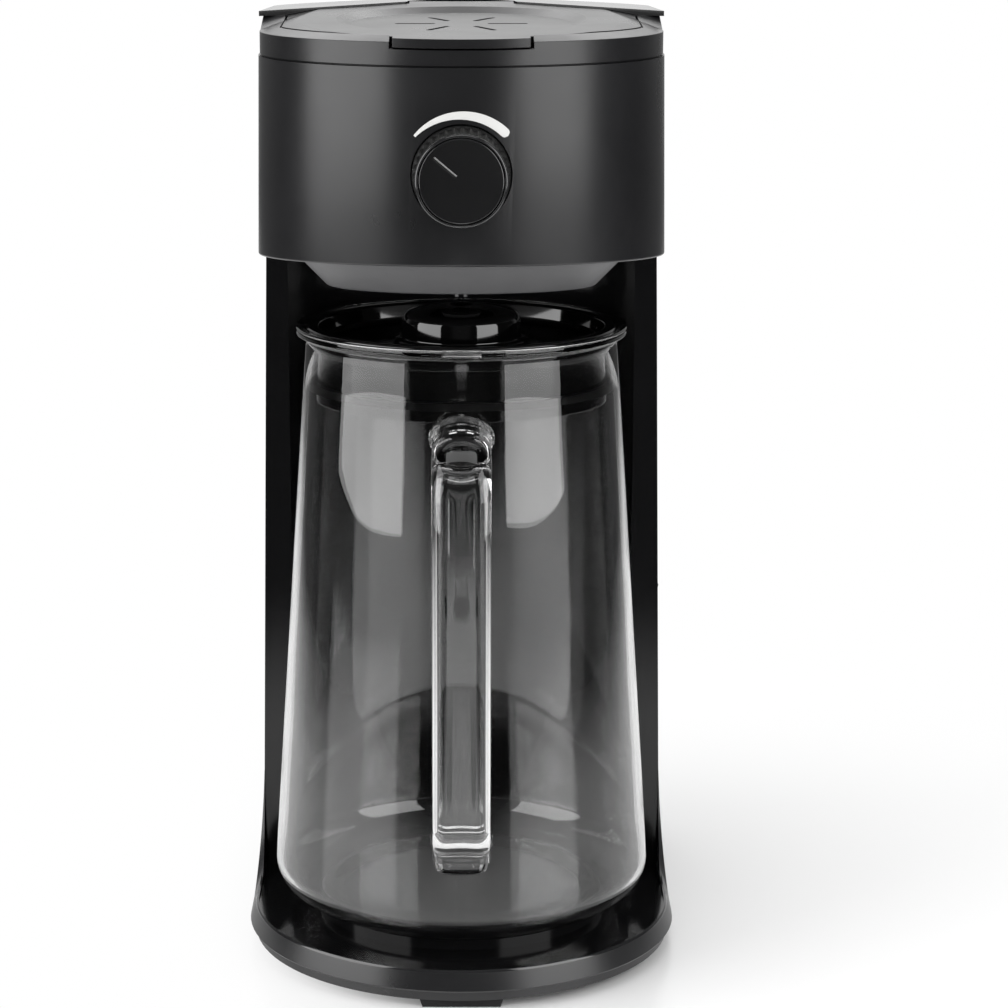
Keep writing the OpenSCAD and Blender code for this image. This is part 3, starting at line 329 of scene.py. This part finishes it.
def handle_skin():
    """Bent bar of clear glass, thicker where it is fused to the jug."""
    bm = bmesh.new()
    high, low, reach = JUG_Z + 208.9, JUG_Z + 37.0, 113.0
    bend = 22.0
    wide, thick = 11.0, 5.5
    oval_wide, oval_thick, oval_sink = 11.2, 7.6, 1.7
    upper_oval, lower_oval = 1.0, 0.25
    fused_y, fused_grow = 61.0, 1.26
    bmesh.ops.create_grid(bm, x_segments=1, y_segments=1, size=1.0)
    bmesh.ops.scale(bm, vec=(wide, thick, 1.0), verts=bm.verts)
    bmesh.ops.bevel(bm, geom=bm.verts[:], offset=5.3, offset_type="OFFSET", affect="VERTICES", segments=9,
                    profile=0.5, material=-1)
    bmesh.ops.bisect_edges(bm, edges=[e for e in bm.edges if e.calc_length() > 3], cuts=11)
    bmesh.ops.rotate(bm, cent=(0, 0, 0), matrix=Matrix.Rotation(math.radians(90), 3, "X"), verts=bm.verts)
    bmesh.ops.translate(bm, vec=(0, -fused_y, high - thick), verts=bm.verts)
    front = bm.faces[:]

    def push(vec, grow=1.0):
        nonlocal front
        more = bmesh.ops.extrude_face_region(bm, geom=front)["geom"]
        bmesh.ops.delete(bm, geom=front, context="FACES_ONLY")
        front = [g for g in more if isinstance(g, bmesh.types.BMFace)]
        verts = [g for g in more if isinstance(g, bmesh.types.BMVert)]
        bmesh.ops.translate(bm, vec=vec, verts=verts)
        if grow != 1.0:
            middle = sum((v.co for v in verts), Vector()) / len(verts)
            bmesh.ops.scale(bm, vec=[grow] * 3, space=Matrix.Translation(-middle), verts=verts)

    def swing(centre, angle):
        nonlocal front
        made = bmesh.ops.spin(bm, geom=front, cent=centre, axis=(1, 0, 0), angle=angle, steps=12)["geom_last"]
        bmesh.ops.delete(bm, geom=front, context="FACES_ONLY")
        front = [g for g in made if isinstance(g, bmesh.types.BMFace)]

    first = [v for f in front for v in f.verts]
    middle = sum((v.co for v in first), Vector()) / len(first)
    bmesh.ops.scale(bm, vec=[fused_grow] * 3, space=Matrix.Translation(-middle), verts=first)
    # A copy of the first section stays behind and closes the end inside the jug.
    bmesh.ops.duplicate(bm, geom=front)
    root_steps = ((3.5, 0.97), (1.6, 0.93), (1.8, 0.94), (2.4, 0.965), (3.0, 0.97))
    for length, grow in root_steps:
        push((0, -length, 0), grow)
    push((0, -(reach - bend) + fused_y + sum(length for length, grow in root_steps), 0))
    swing((0, -(reach - bend), high - bend), math.radians(90))
    for i in range(6):
        push((0, 0, -(high - low - 2 * bend) / 6))
    swing((0, -(reach - bend), low + bend), math.radians(90))
    push((0, 14.0, 0))
    push((0, 4.0, 0), 1.06)
    push((0, 3.0, 0), 1.07)
    bmesh.ops.remove_doubles(bm, verts=bm.verts, dist=1e-4)
    # Round the bends, the section turns from a flat bar to an oval towards the jug.
    for vert in bm.verts:
        up = 1 if vert.co.z > (high + low) / 2 else -1
        ahead = max(0.0, bend - reach - vert.co.y)
        rise = max(0.0, ((vert.co.z - low - bend) if up < 0 else (vert.co.z - high + bend)) * up)
        span = math.hypot(ahead, rise)
        out = span - bend + thick
        if rise > 0:
            oval = (1 - math.atan2(ahead, rise) / (math.pi / 2)) * (upper_oval if up > 0 else lower_oval)
            root = 1 + 0.14 * max(0.0, min(1.0, (vert.co.y + 73) / 8))
            a = math.atan2(out / thick, vert.co.x / wide)
            lift = oval * (oval_thick * root * math.sin(a) - oval_sink - out)
            vert.co.x += oval * (oval_wide * root * math.cos(a) - vert.co.x)
            vert.co.y -= lift * ahead / span
            vert.co.z += up * lift * rise / span
    bmesh.ops.recalc_face_normals(bm, faces=bm.faces)
    return bm


def carved(first, second, operation="DIFFERENCE"):
    """Cuts the second piece from the first, or joins it on, and takes the second away."""
    joint = first.modifiers.new("carve", "BOOLEAN")
    joint.operation = operation
    joint.solver = "EXACT"
    joint.object = second
    shape = bpy.data.meshes.new_from_object(first.evaluated_get(bpy.context.evaluated_depsgraph_get()))
    first.modifiers.clear()
    first.data = shape
    bpy.data.objects.remove(second)
    shape.shade_smooth()
    shape.set_sharp_from_angle(angle=math.radians(40))


jug = make_piece(jug_skin(), "jug_glass", "jug", [glass], ["glass_jug"])
bar = make_piece(handle_skin(), "jug_handle", "jug", [glass])
carved(jug, bar, "UNION")


# Jug lid: a flange that sits in the flare of the rim, a deep dish and a domed middle.
def jug_lid_skin():
    bm = bmesh.new()
    outline(bm, [(4.2, RIM_Z - 10.4, 0), (56.4, RIM_Z - 10.4, 0.6), (56.4, RIM_Z - 29.6, 0.5),
                 (58.5, RIM_Z - 29.6, 0.5), (58.5, RIM_Z - 9.5, 0), (59.7, RIM_Z - 9.5, 0.4),
                 (59.7, RIM_Z - 4.1, 0), (61.9, RIM_Z - 1.9, 0.4), (61.9, RIM_Z, 1.0),
                 (57.2, RIM_Z, 1.0), (56.0, RIM_Z - 7.9, 2.6), (4.2, RIM_Z - 7.9, 0), (4.2, RIM_Z - 10.4, 0)])
    turn(bm)
    return bm


def jug_dome_skin():
    bm = bmesh.new()
    outline(bm, [(4.1, RIM_Z - 7.8, 0), (26.9, RIM_Z - 7.8, 0), (26.9, RIM_Z - 5.7, 0.9),
                 (24.1, RIM_Z - 5.5, 0.8), (23.5, RIM_Z + 4.6, 3.2), (12.0, RIM_Z + 7.5, 5.0),
                 (4.5, RIM_Z + 7.6, 0.3), (4.1, RIM_Z + 7.0, 0), (4.1, RIM_Z - 7.8, 0)])
    bmesh.ops.remove_doubles(bm, verts=bm.verts, dist=1e-4)
    turn(bm)
    return bm


make_piece(jug_lid_skin(), "jug_lid_dish", "jug_lid", [polished_abs], ["jug_lid"])
make_piece(jug_dome_skin(), "jug_lid_crown", "jug_lid", [polished_abs], ["jug_lid_dome"])


# Collar, cap, bezel, lid and body: the solids with their edges rounded.
FINE_LIMIT = 12
for node, radius in (("top_collar", 0.4), ("rear_cap", 0.4), ("switch_bezel", 0.3)):
    skin = softened(node, radius, FINE_LIMIT)
    flat_faced(make_piece(skin, node + "_rounded", "body", [FINISHES[node]], [node], 50, None))


def lid_skin():
    """The lid with its front corners brought down to the sloping rim of the collar."""
    bm = softened("lid", 0.4, FINE_LIMIT)
    tab_hw, spacing = 30.0, 1.5
    rim_slope, ramp_slope = math.tan(math.radians(18)), 5.7 / 22
    rear_drop = 0.8
    bmesh.ops.transform(bm, matrix=TO_PLACE.inverted(), verts=bm.verts)
    cuts = [((s * (tab_hw + 1 + spacing * i), 0, 0), (1, 0, 0)) for s in (-1, 1) for i in range(30)]
    cuts += [((0, -60 + spacing * i, 0), (0, 1, 0)) for i in range(70)]
    for place, facing in cuts:
        bmesh.ops.bisect_plane(bm, geom=bm.verts[:] + bm.edges[:] + bm.faces[:],
                               plane_co=place, plane_no=facing)
    for vert in bm.verts:
        x, y, z = vert.co
        inwards = COLLAR_HW - math.hypot(x, min(y - HEAD_CY, 0.0))
        flush = max(EDGE_Z + inwards * rim_slope, EDGE_Z - 1.2 + (y - 4.0) * ramp_slope)
        if abs(x) > tab_hw:
            z = min(z, flush)
        share = min(1.0, max(0.0, (y - 8.0) / 45))
        vert.co.z = z - rear_drop * share * share * (3 - 2 * share)
    return bm


flat_faced(make_piece(lid_skin(), "lid_rounded", "lid", [satin_abs], ["lid"], 50))


def body_skin():
    """The body with polished wings, bay and dish, a painted highlight along the front lip of the dish, and
    satin everywhere else.
    """
    bm = softened("body_shell", 0.6)
    for face in bm.faces:
        middle = face.calc_center_median() / MM - Vector((0, JUG_Y, 0))
        reach = middle.xy.length
        inwards = -face.normal.xy.dot(middle.xy) / max(reach, 1.0)
        in_bay = middle.z > 14.0 and reach < DISH_R + 0.3 and inwards > 0.3
        past_edge = (abs(middle.x) if middle.y > 0.0 else reach) - DISH_R
        in_dish = 12.0 < middle.z < 21.0 and past_edge < 0.1 and middle.y < 41.0 and reach < 93.0
        on_wing = middle.z > 17.2 and past_edge < 0.2 and face.normal.y < -0.35 and 38.0 < middle.y < 44.0
        # The lip at the dish's front edge takes the lighter tone painted on as a highlight line.
        on_lip = middle.y < 0.0 and abs(past_edge - 0.5) < 1.0 and 0.45 < face.normal.z < 0.97
        face.material_index = 2 if on_lip else int(in_bay or in_dish or on_wing)
    return bm


flat_faced(make_piece(body_skin(), "body_shell_rounded", "body", [satin_abs, gloss_abs, edge_highlight_abs],
                      ["body_shell"], 40, None))


# Head: a drafted wall with a round front, cut off along the sloping underside.
def d_face(bm, half, rear, corner, z):
    """A level face with a round front and two rounded rear corners."""
    front = HEAD_CY - half
    verts = bmesh.ops.create_grid(bm, x_segments=1, y_segments=1, size=1.0)["verts"]
    bmesh.ops.scale(bm, vec=(half, (rear - front) / 2, 1.0), verts=verts)
    bmesh.ops.translate(bm, vec=(0, (rear + front) / 2, z), verts=verts)
    ahead = [v for v in verts if v.co.y < HEAD_CY]
    behind = [v for v in verts if v.co.y > HEAD_CY]
    for ends, size, steps in ((behind, corner, 14), (ahead, half * 0.9999, 48)):
        bmesh.ops.bevel(bm, geom=ends, offset=size, offset_type="OFFSET", affect="VERTICES", segments=steps,
                        profile=0.5, material=-1)
    bmesh.ops.remove_doubles(bm, verts=bm.verts, dist=0.02)


def raised(bm, faces, height, shrink=1.0):
    """Pushes faces up, drawing them in towards the head's round centre. Gives the new faces."""
    more = bmesh.ops.extrude_face_region(bm, geom=faces)["geom"]
    verts = [g for g in more if isinstance(g, bmesh.types.BMVert)]
    bmesh.ops.translate(bm, vec=(0, 0, height), verts=verts)
    bmesh.ops.scale(bm, vec=(shrink, shrink, 1.0), space=Matrix.Translation((0, -HEAD_CY, 0)), verts=verts)
    return [g for g in more if isinstance(g, bmesh.types.BMFace)]


def head_skin():
    bm = bmesh.new()
    low = 266.0
    wide = HEAD_HW - HEAD_DRAFT * (low - UNDER_Z)
    d_face(bm, wide, HEAD_REAR, HEAD_CORNER, low)
    top = raised(bm, bm.faces[:], SEAM_Z - low, 1 - HEAD_DRAFT * (SEAM_Z - low) / wide)
    bmesh.ops.delete(bm, geom=top, context="FACES_ONLY")
    under = UNDER_AT.to_3x3() @ Vector((0, 0, 1))
    bmesh.ops.bisect_plane(bm, geom=bm.verts[:] + bm.edges[:] + bm.faces[:], plane_co=(0, 0, UNDER_Z),
                           plane_no=under, clear_inner=True)
    open_edges = [e for e in bm.edges if e.is_boundary and e.calc_length() > 0 and e.verts[0].co.z < 320]
    bmesh.ops.contextual_create(bm, geom=open_edges)
    bmesh.ops.recalc_face_normals(bm, faces=bm.faces)
    rim = [e for e in bm.edges if not e.is_boundary and e.calc_face_angle() > 1.0 and e.verts[0].co.z < 320]
    bmesh.ops.bevel(bm, geom=rim, offset=0.9, offset_type="OFFSET", affect="EDGES", segments=3,
                    profile=0.5, material=-1)
    bmesh.ops.solidify(bm, geom=bm.faces[:], thickness=HEAD_WALL)
    bmesh.ops.recalc_face_normals(bm, faces=bm.faces)
    return bm


def round_cutter(radius, low, high, place):
    """A drum that cuts a round opening."""
    bm = bmesh.new()
    bmesh.ops.create_cone(bm, cap_ends=True, segments=96, radius1=radius, radius2=radius, depth=high - low)
    bmesh.ops.translate(bm, vec=(0, 0, (high + low) / 2), verts=bm.verts)
    bmesh.ops.transform(bm, matrix=place, verts=bm.verts)
    return bm


head = make_piece(head_skin(), "head_wall", "body", [satin_abs], ["head_shell"])
basket_hole = round_cutter(57.0, -20, 20, Matrix.Translation((0, 0, UNDER_Z)))
carved(head, make_piece(basket_hole, "basket_hole", "body", [satin_abs]))
knob_hole = round_cutter(19.0, -6, 20, KNOB_AT)
carved(head, make_piece(knob_hole, "knob_hole", "body", [satin_abs]))


# Cowl under the head
def cowl_skin():
    bm = bmesh.new()
    outline(bm, [(62.2, 0.0, 0), (65.1, -0.05, 0), (53.3, -11.9, 0.9), (16.1, -11.9, 0.5), (16.1, -10.1, 0.5),
                 (52.2, -10.1, 0), (62.2, 0.0, 0)])
    turn(bm)
    bmesh.ops.transform(bm, matrix=UNDER_AT, verts=bm.verts)
    return bm


make_piece(cowl_skin(), "drip_cowl_rounded", "body", [grey_pp], ["drip_cowl"])


# Strength knob: a tapered grip with fine teeth round an inset face.
def knob_skin():
    bm = bmesh.new()
    steps, tooth_depth = 144, 0.75
    outline(bm, [(3.1, -1.8, 0), (18.4, -1.8, 0.3), (18.4, 0.1, 0.4), (18.1, 0.5, 0), (18.0, 1.0, 0),
                 (17.2, 18.4, 0), (17.15, 18.9, 0), (17.0, 20.45, 0.75), (16.1, 20.45, 0.1), (16.05, 19.4, 0),
                 (3.1, 19.4, 0), (3.1, -1.8, 0)])
    turn(bm, steps)
    for vert in bm.verts:
        r, h = math.hypot(vert.co.x, vert.co.y), vert.co.z
        tooth = round(math.atan2(vert.co.y, vert.co.x) / math.tau * steps) % 4
        if 0.9 < h < 18.6 and r > 17 and tooth in (1, 2):
            shrink = (r - tooth_depth) / r
            vert.co.x, vert.co.y = vert.co.x * shrink, vert.co.y * shrink
    for face in bm.faces:
        middle = face.calc_center_median()
        # The rounded top of the grip takes the lighter tone painted on as a highlight line.
        face.material_index = int(middle.z > 18.8 and middle.xy.length > 16.08)
    bmesh.ops.transform(bm, matrix=KNOB_AT, verts=bm.verts)
    return bm


make_piece(knob_skin(), "strength_knob_grip", "knob", [grip_abs, edge_highlight_abs], ["strength_knob"], crease=28)


# Face of the knob: a disc with a rounded edge and a pointer cut as a notch, with painted highlights on the
# edge and on one wall of the notch.
def knob_face_skin():
    bm = bmesh.new()
    outline(bm, [(0, 19.5, 0), (15.7, 19.5, 0), (15.7, 20.3, 0.6), (0, 20.3, 0)])
    turn(bm, 144)
    for face in bm.faces:
        # The rounded edge of the face takes the lighter tone painted on as a highlight line.
        face.material_index = int(face.calc_center_median().xy.length > 15.0)
    bmesh.ops.transform(bm, matrix=KNOB_AT, verts=bm.verts)
    return bm


def pointer_notch():
    bm = bmesh.new()
    bmesh.ops.create_cube(bm, size=1.0)
    bmesh.ops.scale(bm, vec=(10.8, 0.9, 0.9), verts=bm.verts)
    bmesh.ops.rotate(bm, cent=(0, 0, 0), matrix=Matrix.Rotation(math.radians(45), 3, "X"), verts=bm.verts)
    bmesh.ops.recalc_face_normals(bm, faces=bm.faces)
    for face in bm.faces:
        # One wall of the notch takes the pale grey that is painted on as a highlight.
        face.material_index = 2 if face.normal.y < -0.5 else 0
    bmesh.ops.translate(bm, vec=(7.9, 0, 20.3), verts=bm.verts)
    bmesh.ops.rotate(bm, cent=(0, 0, 0), matrix=Matrix.Rotation(math.radians(140), 3, "Z"), verts=bm.verts)
    bmesh.ops.transform(bm, matrix=KNOB_AT, verts=bm.verts)
    return bm


KNOB_FINISHES = [knob_abs, edge_highlight_abs, pointer_highlight_abs]
knob_face = make_piece(knob_face_skin(), "knob_face", "knob", KNOB_FINISHES, ["knob_cap"])
carved(knob_face, make_piece(pointer_notch(), "pointer", "knob", KNOB_FINISHES))


# Printed crescent over the knob, growing from weak to strong
def crescent_skin():
    bm = bmesh.new()
    middle = 23.3
    end_round = 1.75
    start = math.radians(-48.3)
    sweep = math.radians(96.2)
    ends = [bm.verts.new((middle + s, 0, 0)) for s in (-0.5, 0, 0.5)]
    edges = [bm.edges.new(pair) for pair in zip(ends, ends[1:])]
    bmesh.ops.spin(bm, geom=ends + edges, cent=(0, 0, 0), axis=(0, 0, 1), angle=sweep, steps=72)
    for vert in bm.verts:
        a = math.atan2(vert.co.y, vert.co.x)
        share = a / sweep
        width = 0.9 + 5.4 * share - 2.8 * share * share
        end = max(0.0, (share - 1 + end_round / middle / sweep) * sweep * middle / end_round)
        width *= math.sqrt(max(0.0, 1 - end * end))
        r = middle + (vert.co.xy.length - middle) * width
        turn_to = start + a
        vert.co = (r * math.sin(turn_to), r * math.cos(turn_to), 0)
    bmesh.ops.recalc_face_normals(bm, faces=bm.faces)
    for vert in bm.verts:
        x, z = vert.co.x, KNOB_Z - 1.2 + vert.co.y
        vert.co = (x, head_front(x, z) - 0.05, z)
    bmesh.ops.solidify(bm, geom=bm.faces[:], thickness=0.06)
    bmesh.ops.remove_doubles(bm, verts=bm.verts, dist=1e-4)
    bmesh.ops.recalc_face_normals(bm, faces=bm.faces)
    return bm


make_piece(crescent_skin(), "strength_print", "body", [white_ink])


# Studio: white floor, two tall soft boxes at the sides of the camera, dark room in front, white behind.
def lamp(name, place, aim, width, height, radiance):
    """A soft box at a place in metres, facing a point."""
    place, aim = Vector(place), Vector(aim)
    light = bpy.data.lights.new(name, "AREA")
    light.shape = "RECTANGLE"
    light.size, light.size_y = width, height
    light.energy = radiance * math.pi * width * height
    box = bpy.data.objects.new(name, light)
    box.location = place
    box.rotation_mode = "QUATERNION"
    box.rotation_quaternion = (aim - place).to_track_quat("-Z", "Y")
    box.visible_camera = False
    bpy.context.scene.collection.objects.link(box)


lamp("left_box", (-1.06, -0.48, 0.655), (0, 0, 0.655), 1.14, 1.21, 2.75)
lamp("right_box", (0.91, -0.74, 0.662), (0, 0, 0.662), 0.92, 1.196, 2.75)
lamp("top_box", (0, -0.25, 1.6), (0, 0, 0.2), 1.0, 0.7, 1.6)
lamp("rear_box", (0, 1.1, 1.1), (0, 0, 0.37), 1.2, 0.5, 1.4)


def studio_floor():
    """Pale sweep that keeps a soft shadow near the object and turns white further out. Sizes are in metres."""
    bm = bmesh.new()
    bmesh.ops.create_circle(bm, cap_ends=True, segments=96, radius=14.0)
    mesh = bpy.data.meshes.new("floor")
    bm.to_mesh(mesh)
    bm.free()
    floor = bpy.data.objects.new("floor", mesh)
    finish, tree = new_finish("white_paper")
    place = add(tree, "ShaderNodeTexCoord")
    away = add(tree, "ShaderNodeVectorMath", {0: place.outputs["Object"]}, {1: (0.09, 0.02, 0.0)},
               operation="DISTANCE")
    far = add(tree, "ShaderNodeMapRange", {"Value": away.outputs["Value"]},
              {"From Min": 0.10, "From Max": 0.42}, interpolation_type="SMOOTHSTEP")
    axes = add(tree, "ShaderNodeSeparateXYZ", {0: place.outputs["Object"]})
    edge = add(tree, "ShaderNodeMapRange", {"Value": axes.outputs["Y"]},
               {"From Min": -0.22, "From Max": -0.52}, interpolation_type="SMOOTHSTEP")
    behind = add(tree, "ShaderNodeMapRange", {"Value": axes.outputs["Y"]},
                 {"From Min": 0.5, "From Max": 1.6}, interpolation_type="SMOOTHSTEP")
    aside = add(tree, "ShaderNodeMath", {0: axes.outputs["X"]}, operation="ABSOLUTE")
    runner = add(tree, "ShaderNodeMapRange", {"Value": aside.outputs[0], "To Min": behind.outputs["Result"]},
                 {"From Min": 0.25, "From Max": 0.7, "To Max": 0.0}, interpolation_type="SMOOTHSTEP")
    left = add(tree, "ShaderNodeMapRange", {"Value": axes.outputs["X"]},
               {"From Min": 0.02, "From Max": -0.12}, interpolation_type="SMOOTHSTEP")
    clear = add(tree, "ShaderNodeMath", {0: far.outputs["Result"], 1: left.outputs["Result"]},
                operation="MAXIMUM")
    path = add(tree, "ShaderNodeLightPath")
    mirrored = add(tree, "ShaderNodeMath",
                   {0: path.outputs["Is Glossy Ray"], 1: path.outputs["Is Transmission Ray"]},
                   operation="MAXIMUM")
    side = add(tree, "ShaderNodeMapRange", {"Value": aside.outputs[0]},
               {"From Min": 0.3, "From Max": 0.8}, interpolation_type="SMOOTHSTEP")
    ahead = add(tree, "ShaderNodeMapRange", {"Value": axes.outputs["Y"]},
                {"From Min": -0.72, "From Max": -0.98}, interpolation_type="SMOOTHSTEP")
    strip = add(tree, "ShaderNodeMapRange",
                {"Value": aside.outputs[0], "To Min": ahead.outputs["Result"],
                 "To Max": edge.outputs["Result"]},
                {"From Min": 0.03, "From Max": 0.07}, interpolation_type="SMOOTHSTEP")
    dark = add(tree, "ShaderNodeMath", {0: strip.outputs["Result"], 1: side.outputs["Result"]},
               operation="MAXIMUM")
    cloth = add(tree, "ShaderNodeMath", {0: dark.outputs[0], 1: mirrored.outputs[0]}, operation="MULTIPLY")
    tone = add(tree, "ShaderNodeMix", {0: cloth.outputs[0]}, {6: linear("#f4f4f4"), 7: linear("#202020")},
               data_type="RGBA")
    paper = add(tree, "ShaderNodeBsdfPrincipled", {"Base Color": tone.outputs[2]},
                {"Roughness": 0.22, "IOR": 1.45})
    white = add(tree, "ShaderNodeEmission", None, {"Color": (1, 1, 1, 1), "Strength": 1.0})
    seen = add(tree, "ShaderNodeMath", {0: path.outputs["Is Camera Ray"], 1: clear.outputs[0]},
               operation="MULTIPLY")
    share = add(tree, "ShaderNodeMath",
                {0: mirrored.outputs[0], 1: runner.outputs["Result"], 2: seen.outputs[0]},
                operation="MULTIPLY_ADD", use_clamp=True)
    both = add(tree, "ShaderNodeMixShader", {0: share.outputs[0], 1: paper.outputs[0], 2: white.outputs[0]})
    add(tree, "ShaderNodeOutputMaterial", {"Surface": both.outputs[0]})
    mesh.materials.append(finish)
    bpy.context.scene.collection.objects.link(floor)


studio_floor()


def studio_world():
    """White behind the object, dim on the camera's side."""
    world = bpy.data.worlds.new("studio")
    bpy.context.scene.world = world
    world.use_nodes = True
    tree = world.node_tree
    tree.nodes.clear()
    place = add(tree, "ShaderNodeTexCoord")
    axes = add(tree, "ShaderNodeSeparateXYZ", {0: place.outputs["Generated"]})
    ahead = add(tree, "ShaderNodeMapRange", {"Value": axes.outputs["Y"]}, {"From Min": 0.3, "From Max": 1.0})
    glow = add(tree, "ShaderNodeMath", {0: ahead.outputs["Result"]}, {1: 3.0}, operation="POWER")
    back = add(tree, "ShaderNodeMapRange", {"Value": axes.outputs["Y"]},
               {"From Min": 0.4, "From Max": 0.85, "To Min": 0.05, "To Max": 1.0},
               interpolation_type="SMOOTHSTEP")
    depth = add(tree, "ShaderNodeMapRange", {"Value": glow.outputs[0]}, {"To Min": 0.05, "To Max": 1.0})
    path = add(tree, "ShaderNodeLightPath")
    aside = add(tree, "ShaderNodeMath", {0: axes.outputs["X"]}, operation="ABSOLUTE")
    panel = add(tree, "ShaderNodeMapRange", {"Value": aside.outputs[0]},
                {"From Min": 0.18, "From Max": 0.42, "To Min": 1.0, "To Max": 0.3},
                interpolation_type="SMOOTHSTEP")
    mirrored = add(tree, "ShaderNodeMath", {0: back.outputs["Result"], 1: panel.outputs["Result"]},
                   operation="MULTIPLY")
    gloss = add(tree, "ShaderNodeMix",
                {0: path.outputs["Is Glossy Ray"], 2: depth.outputs["Result"], 3: mirrored.outputs[0]})
    fill = add(tree, "ShaderNodeMix", {0: path.outputs["Is Diffuse Ray"], 2: gloss.outputs[0]}, {3: 0.75})
    level = add(tree, "ShaderNodeMix", {0: path.outputs["Is Camera Ray"], 2: fill.outputs[0]}, {3: 1.0})
    sky = add(tree, "ShaderNodeBackground", {"Strength": level.outputs[0]}, {"Color": (1, 1, 1, 1)})
    add(tree, "ShaderNodeOutputWorld", {"Surface": sky.outputs[0]})


studio_world()

view = bpy.data.cameras.new("camera")
view.sensor_width = 36.0
view.lens = 103.2
view.shift_x = 0.0422
view.clip_end = 100.0
camera = bpy.data.objects.new("camera", view)
camera.location = (0, (JUG_Y - 1144.0) * MM, 0.440)
camera.rotation_euler = (math.radians(90 - 12.65), 0, 0)
bpy.context.scene.collection.objects.link(camera)
bpy.context.scene.camera = camera
bpy.context.scene.view_settings.view_transform = "Standard"
